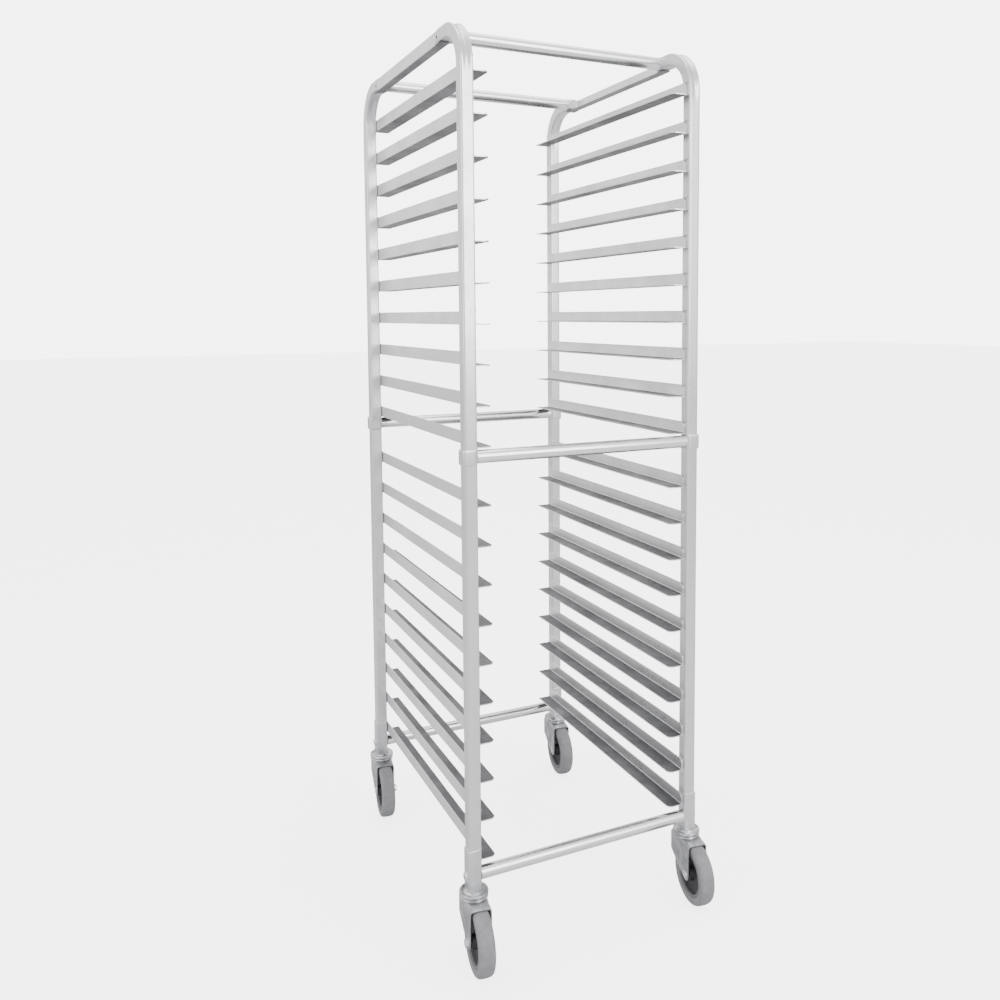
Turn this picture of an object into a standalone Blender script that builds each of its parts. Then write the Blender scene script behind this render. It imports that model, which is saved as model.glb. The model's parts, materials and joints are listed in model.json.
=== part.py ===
"""Sheet pan rack: an open aluminium frame with twenty pairs of angle runners on four swivel casters.

The frame stands on Z = 0, -Y is the loading side, and the origin is the bottom centre of its box.
"""

import math

import bmesh
import bpy
from mathutils import Matrix, Vector

# Driving dimensions, in metres
WIDTH = 0.5144
DEPTH = 0.6604
POST = 0.0254
POST_CORNER = 0.0035
POST_WALL = 0.0020
FOOT_PLUG = 0.0080
GAP = 0.0003
FRAME_TOP = 1.780
POST_FOOT = 0.1435
BEND_RADIUS = 0.076
BEND_REACH = 0.118

TIERS = 20
LOWEST_RUNNER = 0.1975
PITCH = 0.0762
MIDDLE_GAP = 0.036
RUNNER_HEIGHT = 0.0254
RUNNER_REACH = 0.0340
RUNNER_THICK = 0.0022
RUNNER_SET_BACK = 0.010
RUNNER_NOSE = 0.0060

TOP_RAIL_HEIGHT = 0.0254
TOP_RAIL_REACH = 0.0210
TOP_RAIL_THICK = 0.0025
CROSSBAR_RADIUS = 0.0127
CROSSBAR_WALL = 0.0018
CROSSBAR_SIDES = 16
BOTTOM_BAR_HEIGHT = 0.172
MIDDLE_BAR_HEIGHT = 0.9795
COLLAR_HEIGHT = 0.031
COLLAR_PROUD = (0.0035, 0.0015)
SLEEVE_HEIGHT = 0.082
SLEEVE_PROUD = (0.0020, 0.0012)
SLEEVE_DROP = 0.001
BAND_LAP = 0.0009

WHEEL_RADIUS = 0.0635
WHEEL_WIDTH = 0.032
WHEEL_SEGMENTS = 24
TRAIL = 0.038
CASTER_HEADING = math.radians(6.0)
RACE_RADIUS = 0.0285
RACE_TOP = 0.1412
RACE_BOTTOM = 0.1362
RACE_EDGE = 0.002
RACE_SEGMENTS = 20
STEM_RADIUS = 0.009
STEM_TOP = 0.1475
FORK_TOP = 0.1330
FORK_RACE_RISE = 0.0018
FORK_RACE_DROP = 0.0040
FORK_CROWN_DROP = 0.0045
FORK_INNER = 0.0190
FORK_PLATE = 0.0028
FORK_BACK_DROP = 0.0430
FORK_SET_BACK = 0.003
FORK_EYE = 0.0120
HOOD_DROP = 0.0015
AXLE_RADIUS = 0.0050
AXLE_SEGMENTS = 12
BOLT_HEAD_RADIUS = 0.0080
BOLT_HEAD_RISE = 0.0065
BOLT_HEAD_SINK = 0.0005
AXLE_CLEARANCE = 0.00005
HUB_RADIUS = 0.0105
HUB_FLARE = 0.003
HUB_CLEARANCE = 0.0010
WEB_DEPTH = 0.006
WEB_RADIUS = 0.0470
SIDEWALL_SET = 0.001
SHOULDER = 0.007

# The wheels trail towards -Y, so the posts stand back of the box's centre.
FRONT_REACH = TRAIL * math.cos(CASTER_HEADING) + WHEEL_RADIUS
BACK_SHIFT = (FRONT_REACH - RACE_RADIUS) / 2
SIDES = {"left": -1, "right": 1}
ENDS = {"front": -1, "rear": 1}


def clear_scene():
    for obj in list(bpy.data.objects):
        bpy.data.objects.remove(obj, do_unlink=True)


def material(name, color, roughness, metallic):
    made = bpy.data.materials.new(name)
    made.use_nodes = True
    shader = made.node_tree.nodes["Principled BSDF"]
    shader.inputs["Base Color"].default_value = (*color, 1.0)
    shader.inputs["Roughness"].default_value = roughness
    shader.inputs["Metallic"].default_value = metallic
    return made


def new_object(name, shape, finish, smooth=False, origin=(0.0, 0.0, 0.0), parent=None):
    """Turns a bmesh in world coordinates into an object whose origin is at the given place."""
    bmesh.ops.recalc_face_normals(shape, faces=shape.faces)
    bmesh.ops.translate(shape, verts=shape.verts, vec=-Vector(origin))
    mesh = bpy.data.meshes.new(name)
    shape.to_mesh(mesh)
    shape.free()
    mesh.materials.append(finish)
    if smooth:
        mesh.shade_smooth()
        mesh.set_sharp_from_angle(angle=math.radians(40))
    obj = bpy.data.objects.new(name, mesh)
    bpy.context.scene.collection.objects.link(obj)
    obj.location = origin
    if parent:
        obj.parent = parent
        obj.location = Vector(origin) - parent.matrix_world.translation
    return obj


def post_centre(side, end):
    x = SIDES[side] * (WIDTH - POST) / 2
    y = ENDS[end] * (DEPTH - POST) / 2 + BACK_SHIFT
    return Vector((x, y, 0.0))


def rounded_square(half, corner, steps):
    """Points of a square with round corners, counter-clockwise, in its own plane."""
    points = []
    for quarter in range(4):
        sign_a = 1 if quarter in (0, 3) else -1
        sign_b = 1 if quarter in (0, 1) else -1
        for step in range(steps + 1):
            angle = math.radians(90 * (quarter + step / steps))
            a = sign_a * (half - corner) + corner * math.cos(angle)
            b = sign_b * (half - corner) + corner * math.sin(angle)
            points.append((a, b))
    return points


def skin(shape, rings, closed_path=False):
    """Joins rings of vertices, each to the next, with quads."""
    pairs = list(zip(rings, rings[1:]))
    if closed_path:
        pairs.append((rings[-1], rings[0]))
    for low, high in pairs:
        count = len(low)
        for i in range(count):
            j = (i + 1) % count
            shape.faces.new((low[i], low[j], high[j], high[i]))


def bent_rings(shape, side, end, half, corner, stations):
    """Rings of a square tube that goes up and then bends over level, towards the middle of the rack."""
    base = post_centre(side, end)
    inward = -ENDS[end]
    rings = []
    for y, z, lean in stations:
        across = Vector((1, 0, 0))
        along = Vector((0, inward * math.cos(lean), -math.sin(lean)))
        centre = Vector((base.x, base.y + inward * y, z))
        outline = rounded_square(half, corner, 2)
        rings.append([shape.verts.new(centre + across * a + along * b) for a, b in outline])
    return rings


def post_stations(foot):
    """(distance inward, height, lean) along the centre line, from the foot to the bent end."""
    bend_start = FRAME_TOP - POST / 2 - BEND_RADIUS
    stations = [(0.0, foot, 0.0)]
    bend_steps = 7
    for step in range(bend_steps + 1):
        angle = math.radians(90 * step / bend_steps)
        inward = BEND_RADIUS * (1 - math.cos(angle))
        height = bend_start + BEND_RADIUS * math.sin(angle)
        stations.append((inward, height, angle))
    stations.append((BEND_REACH, FRAME_TOP - POST / 2, math.radians(90)))
    return stations


def make_band(centre, proud, low, high):
    """A sheet wrapped round a post: proud of its outer face, less so in front and behind.

    It lies inside the post's wall on the inner face, where the runners and crossbars bear."""
    proud_outside, proud_beside = proud
    outward = math.copysign(1.0, centre.x)
    shape = bmesh.new()
    outer = []
    for a, b in rounded_square(POST / 2, POST_CORNER, 2):
        across = max(a * outward, -POST / 2 + BAND_LAP / 3)
        across += proud_outside if across > 0 else 0.0
        outer.append((across * outward, b + math.copysign(proud_beside, b)))
    inner = rounded_square(POST / 2 - BAND_LAP, POST_CORNER - BAND_LAP, 2)
    rings = []
    for outline, z in ((outer, low), (outer, high), (inner, high), (inner, low)):
        rings.append([shape.verts.new((centre.x + a, centre.y + b, z)) for a, b in outline])
    skin(shape, rings, closed_path=True)
    return shape


def join_shape(obj, shape, name, finish):
    """Unites a helper solid with obj through a Boolean modifier."""
    helper = new_object(name, shape, finish)
    helper.hide_render = True
    helper.display_type = "WIRE"
    union = obj.modifiers.new(name, "BOOLEAN")
    union.operation = "UNION"
    union.solver = "EXACT"
    union.object = helper


def make_post(side, end, alloy):
    """Tube bent over at the top, with the crossbar's collar, the foot sleeve and the caster's fixed race."""
    centre = post_centre(side, end)
    shape = bmesh.new()
    outer = bent_rings(shape, side, end, POST / 2, POST_CORNER, post_stations(POST_FOOT))
    bore_stations = post_stations(POST_FOOT + FOOT_PLUG)
    bore = bent_rings(shape, side, end, POST / 2 - POST_WALL, POST_CORNER / 2, bore_stations)
    skin(shape, outer + bore[::-1])
    shape.faces.new(outer[0])
    shape.faces.new(bore[0])
    name = f"post_{end}_{side}"
    post = new_object(name, shape, alloy, smooth=True)
    collar_low = MIDDLE_BAR_HEIGHT - COLLAR_HEIGHT / 2
    collar = make_band(centre, COLLAR_PROUD, collar_low, collar_low + COLLAR_HEIGHT)
    join_shape(post, collar, f"{name}_collar", alloy)
    sleeve_top = POST_FOOT + SLEEVE_HEIGHT
    sleeve = make_band(centre, SLEEVE_PROUD, POST_FOOT - SLEEVE_DROP, sleeve_top)
    join_shape(post, sleeve, f"{name}_sleeve", alloy)
    race_profile = [(0.0, STEM_TOP), (STEM_RADIUS, STEM_TOP), (STEM_RADIUS, RACE_TOP),
                    (RACE_RADIUS - RACE_EDGE, RACE_TOP), (RACE_RADIUS, RACE_TOP - RACE_EDGE),
                    (RACE_RADIUS, RACE_BOTTOM), (0.0, RACE_BOTTOM)]
    race = turned_shape(race_profile, Matrix.Translation(centre), RACE_SEGMENTS)
    join_shape(post, race, f"{name}_race", alloy)
    return post


def cap_and_skin(shape, rings):
    """Quads between rings, with a fan where a ring is a single point."""
    for low, high in zip(rings, rings[1:]):
        count = len(high) if isinstance(low, bmesh.types.BMVert) else len(low)
        for i in range(count):
            j = (i + 1) % count
            if isinstance(low, bmesh.types.BMVert):
                shape.faces.new((low, high[i], high[j]))
            elif isinstance(high, bmesh.types.BMVert):
                shape.faces.new((high, low[j], low[i]))
            else:
                shape.faces.new((low[i], low[j], high[j], high[i]))


def turned_ring(shape, radius, rise, place, segments):
    """One ring of points about the Z axis of place."""
    ring = []
    for i in range(segments):
        angle = math.tau * i / segments
        ring.append(shape.verts.new(place @ Vector((radius * math.cos(angle), radius * math.sin(angle), rise))))
    return ring


def turned_shape(profile, place, segments):
    """A solid turned about the Z axis of place. The profile of (radius, rise) runs from axis to axis."""
    shape = bmesh.new()
    rings = []
    for radius, rise in profile:
        if radius == 0.0:
            rings.append(shape.verts.new(place @ Vector((0, 0, rise))))
        else:
            rings.append(turned_ring(shape, radius, rise, place, segments))
    cap_and_skin(shape, rings)
    return shape


def tier_height(tier):
    """Underside of a runner. Tier 1 is the lowest, and the middle crossbars part the tenth from the next."""
    extra = MIDDLE_GAP if tier > TIERS // 2 else 0.0
    return LOWEST_RUNNER + PITCH * (tier - 1) + extra


def make_runner(side, tier, alloy):
    """Angle runner on the posts' inner faces: upright flange outside, ledge at the bottom."""
    outward = SIDES[side]
    face = WIDTH / 2 - POST - GAP
    low = tier_height(tier)
    front = -DEPTH / 2 + RUNNER_SET_BACK + BACK_SHIFT
    back = DEPTH / 2 - RUNNER_SET_BACK + BACK_SHIFT
    shape = bmesh.new()

    def point(inset, y, z):
        return shape.verts.new((outward * (face - inset), y, low + z))

    # Sections from front to back: the nose with its two corners cut back, and the square back end
    reaches = (RUNNER_REACH - RUNNER_NOSE, RUNNER_REACH, RUNNER_REACH)
    heights = (RUNNER_HEIGHT - RUNNER_NOSE, RUNNER_HEIGHT, RUNNER_HEIGHT)
    places = (front, front + RUNNER_NOSE, back)
    rings = []
    for reach, height, y in zip(reaches, heights, places):
        corners = [(0.0, 0.0), (reach, 0.0), (reach, RUNNER_THICK), (RUNNER_THICK, RUNNER_THICK),
                   (RUNNER_THICK, height), (0.0, height)]
        rings.append([point(inset, y, z) for inset, z in corners])
    skin(shape, rings)
    shape.faces.new(rings[0])
    shape.faces.new(rings[-1])
    return new_object(f"runner_{side}_{tier:02d}", shape, alloy)


def make_top_rail(side, alloy):
    """Angle under the bent post ends: it joins the front post's end to the rear one's."""
    outward = SIDES[side]
    outer = WIDTH / 2
    end = DEPTH / 2 - BEND_REACH - POST / 2
    low = FRAME_TOP - POST - TOP_RAIL_THICK - GAP
    shape = bmesh.new()
    corners = [(0.0, 0.0), (TOP_RAIL_REACH, 0.0), (TOP_RAIL_REACH, TOP_RAIL_THICK),
               (TOP_RAIL_THICK, TOP_RAIL_THICK), (TOP_RAIL_THICK, TOP_RAIL_HEIGHT), (0.0, TOP_RAIL_HEIGHT)]
    rings = []
    for y in (-end + GAP, end - GAP):
        rings.append([shape.verts.new((outward * (outer - inset), y + BACK_SHIFT, low + z))
                      for inset, z in corners])
    skin(shape, rings)
    shape.faces.new(rings[0])
    shape.faces.new(rings[-1])
    return new_object(f"top_rail_{side}", shape, alloy)


def make_crossbar(level, end, height, y, alloy):
    """Round tube from the left side to the right, open at both ends where it meets the posts."""
    half = WIDTH / 2 - POST - GAP
    shape = bmesh.new()
    rings = []
    for radius, x in ((CROSSBAR_RADIUS, -half), (CROSSBAR_RADIUS, half),
                      (CROSSBAR_RADIUS - CROSSBAR_WALL, half), (CROSSBAR_RADIUS - CROSSBAR_WALL, -half)):
        ring = []
        for i in range(CROSSBAR_SIDES):
            angle = math.tau * (i + 0.5) / CROSSBAR_SIDES
            ring.append(shape.verts.new((x, y + radius * math.cos(angle), height + radius * math.sin(angle))))
        rings.append(ring)
    skin(shape, rings, closed_path=True)
    return new_object(f"crossbar_{level}_{end}", shape, alloy, smooth=True)


def caster_frame(side, end):
    """Matrix from the caster's own axes (swivel on Z, wheel trailing along -Y) to the rack's."""
    turn = Matrix.Rotation(-CASTER_HEADING, 4, "Z")
    return Matrix.Translation(post_centre(side, end)) @ turn


def axle_frame(side, end):
    """Matrix whose Z axis runs along the wheel's axle, from its centre."""
    axle = Matrix.Translation((0, -TRAIL, WHEEL_RADIUS)) @ Matrix.Rotation(math.radians(90), 4, "Y")
    return caster_frame(side, end) @ axle


def fork_outline():
    """Side view of the fork: a crown with a sloping hood, over legs that taper to a round end at the axle."""
    crown_back = RACE_RADIUS - FORK_SET_BACK
    points = [(crown_back, FORK_TOP), (crown_back, FORK_TOP - FORK_BACK_DROP)]
    for step in range(6):
        angle = math.radians(-30 - 60 * step / 5)
        points.append((-TRAIL + FORK_EYE * math.cos(angle), WHEEL_RADIUS + FORK_EYE * math.sin(angle)))
    front = -TRAIL - FORK_EYE
    points += [(front + FORK_SET_BACK, WHEEL_RADIUS - FORK_EYE + FORK_SET_BACK), (front, WHEEL_RADIUS),
               (front, FORK_TOP - HOOD_DROP), (-RACE_RADIUS + RACE_EDGE, FORK_TOP)]
    return points


def box_shape(shape, low, high):
    for vert in bmesh.ops.create_cube(shape, size=1.0)["verts"]:
        for axis in range(3):
            vert.co[axis] = low[axis] if vert.co[axis] < 0 else high[axis]


def make_fork(side, end, zinc, swivel):
    """Pressed fork with its lower race and the axle bolt, which clamps the two legs."""
    name = f"caster_fork_{end}_{side}"
    turn = caster_frame(side, end)
    width = FORK_INNER + FORK_PLATE
    shape = bmesh.new()
    inner = [shape.verts.new((-width, y, z)) for y, z in fork_outline()]
    outer = [shape.verts.new((width, y, z)) for y, z in fork_outline()]
    skin(shape, [inner, outer])
    shape.faces.new(inner)
    shape.faces.new(outer)
    bmesh.ops.transform(shape, matrix=turn, verts=shape.verts)
    place = tuple(post_centre(side, end) + Vector((0, 0, FORK_TOP)))
    fork = new_object(name, shape, zinc, origin=place, parent=swivel)
    slot = bmesh.new()
    far = 2 * WHEEL_RADIUS
    box_shape(slot, (-FORK_INNER, -far, 0.0), (FORK_INNER, far, FORK_TOP - FORK_CROWN_DROP))
    bmesh.ops.transform(slot, matrix=turn, verts=slot.verts)
    cutter = new_object(f"{name}_slot", slot, zinc)
    cutter.hide_render = True
    cutter.display_type = "WIRE"
    cut = fork.modifiers.new("slot", "BOOLEAN")
    cut.operation = "DIFFERENCE"
    cut.object = cutter
    ring_radius = RACE_RADIUS - RACE_EDGE / 2
    race_profile = [(0.0, FORK_TOP + FORK_RACE_RISE), (ring_radius - RACE_EDGE, FORK_TOP + FORK_RACE_RISE),
                    (ring_radius, FORK_TOP), (ring_radius, FORK_TOP - FORK_RACE_DROP),
                    (0.0, FORK_TOP - FORK_RACE_DROP)]
    join_shape(fork, turned_shape(race_profile, turn, RACE_SEGMENTS), f"{name}_race", zinc)
    outside = FORK_INNER + FORK_PLATE
    under_head, top = outside - BOLT_HEAD_SINK, outside + BOLT_HEAD_RISE
    bolt_profile = [(0.0, top), (BOLT_HEAD_RADIUS, top), (BOLT_HEAD_RADIUS, under_head),
                    (AXLE_RADIUS, under_head)]
    bolt_profile += [(radius, -rise) for radius, rise in reversed(bolt_profile)]
    join_shape(fork, turned_shape(bolt_profile, axle_frame(side, end), AXLE_SEGMENTS), f"{name}_bolt", zinc)
    return fork


def make_wheel(side, end, rubber, axle):
    """Rubber-tyred wheel on a plain hub, bored for the axle bolt, with one row of points on the floor."""
    half = WHEEL_WIDTH / 2
    hub_half = FORK_INNER - HUB_CLEARANCE
    bore = AXLE_RADIUS + AXLE_CLEARANCE
    web_half = half - WEB_DEPTH
    profile = [(bore, hub_half), (HUB_RADIUS + HUB_FLARE, hub_half), (HUB_RADIUS + 2 * HUB_FLARE, web_half),
               (WEB_RADIUS, web_half), (WEB_RADIUS + HUB_FLARE, half - SIDEWALL_SET),
               (WHEEL_RADIUS - SHOULDER, half), (WHEEL_RADIUS, half - SHOULDER)]
    profile += [(radius, -rise) for radius, rise in reversed(profile)]
    place = axle_frame(side, end)
    shape = bmesh.new()
    rings = [turned_ring(shape, radius, rise, place, WHEEL_SEGMENTS) for radius, rise in profile]
    skin(shape, rings, closed_path=True)
    name = f"caster_wheel_{end}_{side}"
    return new_object(name, shape, rubber, smooth=True, origin=tuple(place.translation), parent=axle)


def pivot(name, place):
    """Empty that marks a joint, from which its moving pieces hang."""
    empty = bpy.data.objects.new(name, None)
    bpy.context.scene.collection.objects.link(empty)
    empty.location = place
    bpy.context.view_layer.update()
    return empty


def make_frame():
    alloy = material("satin aluminium", (0.80, 0.81, 0.82), 0.35, 1.0)
    rail = material("top angle", (0.78, 0.79, 0.80), 0.35, 1.0)
    ledge = material("runner", (0.76, 0.77, 0.78), 0.40, 1.0)
    for side in SIDES:
        for end in ENDS:
            make_post(side, end, alloy)
        make_top_rail(side, rail)
        for tier in range(1, TIERS + 1):
            make_runner(side, tier, ledge)


def make_crossbars():
    tube = material("round tube", (0.82, 0.83, 0.84), 0.30, 1.0)
    for end, sign in ENDS.items():
        post_y = post_centre("left", end).y
        bend_end = post_y - sign * (BEND_REACH - CROSSBAR_RADIUS)
        make_crossbar("top", end, FRAME_TOP - POST / 2, bend_end, tube)
        make_crossbar("middle", end, MIDDLE_BAR_HEIGHT, post_y, tube)
        make_crossbar("bottom", end, BOTTOM_BAR_HEIGHT, post_y, tube)


def make_casters():
    zinc = material("zinc plate", (0.62, 0.63, 0.65), 0.38, 1.0)
    rubber = material("grey rubber", (0.38, 0.38, 0.40), 0.70, 0.0)
    for side in SIDES:
        for end in ENDS:
            swivel = pivot(f"swivel_{end}_{side}", post_centre(side, end) + Vector((0, 0, FORK_TOP)))
            axle = pivot(f"axle_{end}_{side}", axle_frame(side, end).translation)
            make_fork(side, end, zinc, swivel)
            make_wheel(side, end, rubber, axle)


clear_scene()
make_frame()
make_crossbars()
make_casters()
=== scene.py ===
"""Looks of a mobile sheet pan rack: satin aluminium tube and angle on four swivel casters."""

import json
import math

import bmesh
import bpy
from mathutils import Matrix, Vector


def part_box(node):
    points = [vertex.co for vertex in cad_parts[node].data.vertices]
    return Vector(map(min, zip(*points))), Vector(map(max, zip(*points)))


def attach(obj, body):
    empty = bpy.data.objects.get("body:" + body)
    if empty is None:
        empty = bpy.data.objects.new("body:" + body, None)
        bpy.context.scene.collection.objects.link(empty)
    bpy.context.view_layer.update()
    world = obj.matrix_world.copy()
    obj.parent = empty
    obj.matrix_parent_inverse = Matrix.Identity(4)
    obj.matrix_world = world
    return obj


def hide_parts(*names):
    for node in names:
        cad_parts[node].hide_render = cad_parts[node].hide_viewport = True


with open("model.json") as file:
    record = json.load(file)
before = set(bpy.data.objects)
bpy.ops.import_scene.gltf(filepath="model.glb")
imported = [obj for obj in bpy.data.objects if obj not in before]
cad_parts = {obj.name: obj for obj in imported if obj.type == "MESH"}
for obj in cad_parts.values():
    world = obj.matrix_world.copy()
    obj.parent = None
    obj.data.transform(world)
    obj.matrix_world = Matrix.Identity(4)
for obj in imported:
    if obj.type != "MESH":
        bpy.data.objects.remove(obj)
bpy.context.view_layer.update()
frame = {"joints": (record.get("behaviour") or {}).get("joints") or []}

# ---------------------------------------------------------------------------------------------
# Posts. Each is a one-inch square drawn aluminium tube with round corners, bent over at the top
# in a roller bender, which presses a crease into the outside of the bend. They are welded to the
# runners on their inner faces, and the level end is closed with a set-in plate.

SIDES = {"left": -1, "right": 1}
ENDS = {"front": -1, "rear": 1}
CORNERS = [(end, side) for end in ENDS for side in SIDES]
JOINTS = {joint["name"]: joint for joint in frame["joints"]}
POST_HALF = 0.0127
POST_CORNER = 0.0035
POST_WALL = 0.0020
POST_FOOT = 0.1435
END_EASE = 0.0055
END_TAPER = 0.6
END_SHARES = (0.35, 0.7, 0.92, 1.0)
END_PLATE_INSET = 0.0006
BEND_RADIUS = 0.076
BEND_STEPS = 26
CREASE_DEPTH = 0.0042
CREASE_LEAD = 0.016
CREASE_LEAD_STEPS = 4
CREASE_START = 0.45
INNER_CREASE = 0.45
STATION_GAP = 0.0001


def shader_of(material):
    return material.node_tree.nodes["Principled BSDF"]


def add_node(tree, kind, place, **settings):
    node = tree.nodes.new(kind)
    node.location = place
    for key, value in settings.items():
        setattr(node, key, value)
    return node


def group_shell(name, inputs, outputs):
    """An empty shader node group with named sockets: (name, kind, default)."""
    tree = bpy.data.node_groups.new(name, "ShaderNodeTree")
    for label, kind, default in inputs:
        socket = tree.interface.new_socket(label, in_out="INPUT", socket_type=kind)
        socket.default_value = default
    for label, kind in outputs:
        tree.interface.new_socket(label, in_out="OUTPUT", socket_type=kind)
    entry = add_node(tree, "NodeGroupInput", (-1100, 0))
    leave = add_node(tree, "NodeGroupOutput", (700, 0))
    return tree, entry, leave


SURFACE_OUTPUTS = [("Color", "NodeSocketColor"), ("Roughness", "NodeSocketFloat"),
                   ("Height", "NodeSocketFloat")]


def drawn_grain_group():
    """Fine lines left by the drawing die, with the cloudy dulling of handled metal."""
    tree, entry, leave = group_shell(
        "drawn grain",
        [("Bright", "NodeSocketColor", (0.8, 0.8, 0.8, 1)),
         ("Dull", "NodeSocketColor", (0.6, 0.6, 0.6, 1)),
         ("Line Scale", "NodeSocketVector", (1, 1, 1)), ("Smooth", "NodeSocketFloat", 0.25),
         ("Matt", "NodeSocketFloat", 0.45), ("Scratches", "NodeSocketFloat", 0.3)],
        SURFACE_OUTPUTS)
    link = tree.links.new
    place = add_node(tree, "ShaderNodeTexCoord", (-1100, 300))
    stretch = add_node(tree, "ShaderNodeVectorMath", (-900, 200), operation="MULTIPLY")
    link(place.outputs["Object"], stretch.inputs[0])
    link(entry.outputs["Line Scale"], stretch.inputs[1])
    lines = add_node(tree, "ShaderNodeTexNoise", (-700, 250))
    lines.inputs["Scale"].default_value = 1.0
    lines.inputs["Detail"].default_value = 3.0
    link(stretch.outputs[0], lines.inputs["Vector"])
    clouds = add_node(tree, "ShaderNodeTexNoise", (-700, 0))
    clouds.inputs["Scale"].default_value = 11.0
    clouds.inputs["Detail"].default_value = 5.0
    clouds.inputs["Roughness"].default_value = 0.62
    link(place.outputs["Object"], clouds.inputs["Vector"])
    smudge = add_node(tree, "ShaderNodeMapRange", (-450, 0))
    smudge.inputs["From Min"].default_value = 0.36
    smudge.inputs["From Max"].default_value = 0.68
    link(clouds.outputs["Fac"], smudge.inputs["Value"])
    thin = add_node(tree, "ShaderNodeMapRange", (-450, 300))
    thin.inputs["From Min"].default_value = 0.57
    thin.inputs["From Max"].default_value = 0.70
    link(lines.outputs["Fac"], thin.inputs["Value"])
    scored = add_node(tree, "ShaderNodeMath", (-250, 300), operation="MULTIPLY")
    link(thin.outputs["Result"], scored.inputs[0])
    link(entry.outputs["Scratches"], scored.inputs[1])
    dulling = add_node(tree, "ShaderNodeMath", (-50, 200), operation="MULTIPLY_ADD", use_clamp=True)
    link(smudge.outputs["Result"], dulling.inputs[0])
    dulling.inputs[1].default_value = 0.65
    link(scored.outputs[0], dulling.inputs[2])
    tint = add_node(tree, "ShaderNodeMix", (200, 250), data_type="RGBA")
    link(dulling.outputs[0], tint.inputs["Factor"])
    link(entry.outputs["Bright"], tint.inputs["A"])
    link(entry.outputs["Dull"], tint.inputs["B"])
    link(tint.outputs["Result"], leave.inputs["Color"])
    gloss = add_node(tree, "ShaderNodeMapRange", (200, 0))
    link(dulling.outputs[0], gloss.inputs["Value"])
    link(entry.outputs["Smooth"], gloss.inputs["To Min"])
    link(entry.outputs["Matt"], gloss.inputs["To Max"])
    link(gloss.outputs["Result"], leave.inputs["Roughness"])
    link(lines.outputs["Fac"], leave.inputs["Height"])
    return tree


def surfaced(name, group, values, metallic, relief, relief_height):
    """A material whose colour, roughness and relief come from one shader group."""
    material = bpy.data.materials.new(name)
    material.use_nodes = True
    tree = material.node_tree
    shader = shader_of(material)
    shader.inputs["Metallic"].default_value = metallic
    surface = add_node(tree, "ShaderNodeGroup", (-600, 200), node_tree=group)
    for label, value in values.items():
        surface.inputs[label].default_value = value
    bump = add_node(tree, "ShaderNodeBump", (-300, -100))
    bump.inputs["Strength"].default_value = relief
    bump.inputs["Distance"].default_value = relief_height
    tree.links.new(surface.outputs["Color"], shader.inputs["Base Color"])
    tree.links.new(surface.outputs["Roughness"], shader.inputs["Roughness"])
    tree.links.new(surface.outputs["Height"], bump.inputs["Height"])
    tree.links.new(bump.outputs["Normal"], shader.inputs["Normal"])
    return material


DRAWN_GRAIN = drawn_grain_group()
ALONG = {"x": (40, 2600, 2600), "y": (2600, 40, 2600), "z": (2600, 2600, 40)}


def drawn_metal(name, axis, bright, dull, smooth=0.24, matt=0.42, scratches=0.35, relief=0.10):
    """Bare metal whose drawing lines run along one axis."""
    values = {"Bright": (*bright, 1), "Dull": (*dull, 1), "Line Scale": ALONG[axis],
              "Smooth": smooth, "Matt": matt, "Scratches": scratches}
    return surfaced(name, DRAWN_GRAIN, values, 1.0, relief, 0.0002)


def finish_piece(name, shape, materials, body, replaced=(), sharp=35):
    """Makes an object of a bmesh in rack coordinates, and says what it rides on and stands for."""
    bmesh.ops.recalc_face_normals(shape, faces=shape.faces)
    mesh = bpy.data.meshes.new(name)
    shape.to_mesh(mesh)
    shape.free()
    for material in materials:
        mesh.materials.append(material)
    mesh.shade_smooth()
    mesh.set_sharp_from_angle(angle=math.radians(sharp))
    piece = bpy.data.objects.new(name, mesh)
    bpy.context.scene.collection.objects.link(piece)
    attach(piece, body)
    if replaced:
        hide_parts(*replaced)
    return piece


def skin(shape, rings, closed_path=False):
    """Quads between each ring of points and the next. Returns the faces."""
    pairs = list(zip(rings, rings[1:]))
    if closed_path:
        pairs.append((rings[-1], rings[0]))
    faces = []
    for low, high in pairs:
        count = len(low)
        for i in range(count):
            j = (i + 1) % count
            faces.append(shape.faces.new((low[i], low[j], high[j], high[i])))
    return faces


def round_square(half, corner, arc_steps=5, flat_steps=8):
    """Outline of a square with round corners, with points along its flats too."""
    points = []
    for quarter in range(4):
        sign_a = 1 if quarter in (0, 3) else -1
        sign_b = 1 if quarter in (0, 1) else -1
        centre = Vector((sign_a * (half - corner), sign_b * (half - corner)))
        for step in range(arc_steps + 1):
            angle = math.radians(90 * (quarter + step / arc_steps))
            points.append(centre + corner * Vector((math.cos(angle), math.sin(angle))))
        turn = math.radians(90 * (quarter + 1))
        run = Vector((-math.sin(turn), math.cos(turn))) * 2 * (half - corner)
        start = points[-1].copy()
        points += [start + run * step / flat_steps for step in range(1, flat_steps)]
    return points


def swivel_place(end, side):
    """The caster's swivel axis, which is the post's centre line."""
    x, y, z = JOINTS[f"swivel_{end}_{side}"]["pos_m"]
    return Vector((x, y, 0.0))


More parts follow.
